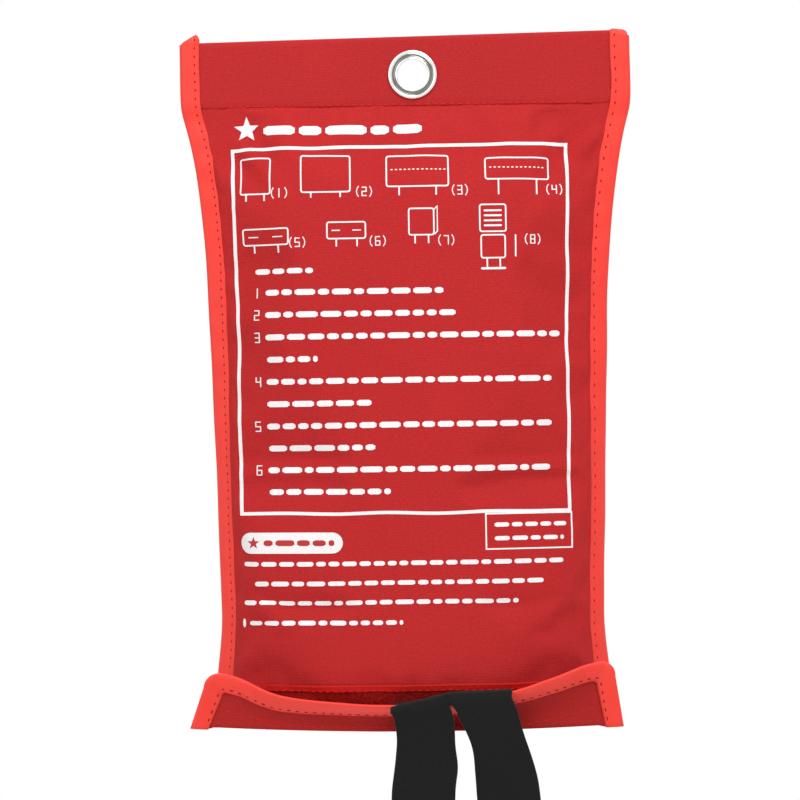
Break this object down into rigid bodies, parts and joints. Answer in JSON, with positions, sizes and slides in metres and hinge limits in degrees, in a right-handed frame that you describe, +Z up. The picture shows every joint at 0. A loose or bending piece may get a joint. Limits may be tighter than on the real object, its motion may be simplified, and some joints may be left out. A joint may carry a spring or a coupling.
{
  "type": "fire blanket",
  "caption": "Soft flat pouch with a metal eyelet at its top and a flap at its bottom, holding a folded blanket with black pull tapes.",
  "frame": {"origin": "where a hook bears: the top of the eyelet's hole, at the header's mid thickness", "axes": "+Z up, towards the pouch's top edge; +X to the right of someone facing the pouch; the front faces -Y"},
  "size_m": [0.182, 0.0373, 0.35],
  "materials": {
    "panel": "woven polyester, matte",
    "header": "woven polyester, matte",
    "binding": "satin bias tape",
    "loop": "fuzzy hook-and-loop",
    "hook": "hook-and-loop hooks",
    "metal": "bright plate",
    "glass_cloth": "woven glass fibre",
    "webbing": "woven webbing, matte"
  },
  "bodies": {
    "pouch": {"front_panel": "panel", "back_panel": "panel", "header_band": "header", "eyelet": "metal", "eyelet_washer": "metal", "left_binding": "binding", "right_binding": "binding", "loop_strip": "loop"},
    "bottom_fold": {"bottom_fold": "panel", "left_fold_binding": "binding", "right_fold_binding": "binding"},
    "flap": {"flap_panel": "panel", "flap_binding": "binding", "hook_strip": "hook"},
    "blanket": {"blanket": "glass_cloth", "left_tape_root": "webbing", "right_tape_root": "webbing"},
    "left_riser": {"left_tape_riser": "webbing"},
    "left_wrap": {"left_tape_wrap": "webbing"},
    "left_tail": {"left_tape_tail": "webbing"},
    "right_riser": {"right_tape_riser": "webbing"},
    "right_wrap": {"right_tape_wrap": "webbing"},
    "right_tail": {"right_tape_tail": "webbing"}
  },
  "joints": [
    {"name": "blanket_pull", "type": "slide", "parent": "pouch", "child": "blanket", "axis": [0, 0, -1], "range_m": [0, 0.245], "deforming": ["bottom_fold", "left_fold_binding", "right_fold_binding", "flap_panel", "flap_binding", "hook_strip"]},
    {"name": "fold_open", "type": "hinge", "parent": "pouch", "child": "bottom_fold", "pos_m": [-0.003, 0.01475, -0.27], "axis": [1, 0, 0], "range_deg": [0, 90]},
    {"name": "flap_open", "type": "hinge", "parent": "bottom_fold", "child": "flap", "pos_m": [-0.003, -0.02, -0.27], "axis": [1, 0, 0], "range_deg": [0, 90]},
    {"name": "left_riser_turn", "type": "hinge", "parent": "blanket", "child": "left_riser", "pos_m": [0.0012, -0.01685, -0.2689], "axis": [1, 0, 0], "range_deg": [0, 180]},
    {"name": "left_wrap_turn", "type": "hinge", "parent": "left_riser", "child": "left_wrap", "pos_m": [0.0012, -0.01685, -0.252], "axis": [-1, 0, 0], "range_deg": [0, 180]},
    {"name": "left_tail_swing", "type": "hinge", "parent": "left_wrap", "child": "left_tail", "pos_m": [0.0012, -0.022, -0.2596], "axis": [-1, 0, 0], "range_deg": [0, 90]},
    {"name": "right_riser_turn", "type": "hinge", "parent": "blanket", "child": "right_riser", "pos_m": [0.0268, -0.01685, -0.2689], "axis": [1, 0, 0], "range_deg": [0, 180]},
    {"name": "right_wrap_turn", "type": "hinge", "parent": "right_riser", "child": "right_wrap", "pos_m": [0.0268, -0.01685, -0.252], "axis": [-1, 0, 0], "range_deg": [0, 180]},
    {"name": "right_tail_swing", "type": "hinge", "parent": "right_wrap", "child": "right_tail", "pos_m": [0.0268, -0.022, -0.2596], "axis": [-1, 0, 0], "range_deg": [0, 90]}
  ],
  "couplings": [
    {"joint": "fold_open", "follows": "blanket_pull", "rad_per_m": 6.41},
    {"joint": "flap_open", "follows": "blanket_pull", "rad_per_m": 6.41},
    {"joint": "left_riser_turn", "follows": "blanket_pull", "rad_per_m": 12.82},
    {"joint": "left_wrap_turn", "follows": "blanket_pull", "rad_per_m": 12.82},
    {"joint": "right_riser_turn", "follows": "blanket_pull", "rad_per_m": 12.82},
    {"joint": "right_wrap_turn", "follows": "blanket_pull", "rad_per_m": 12.82}
  ]
}
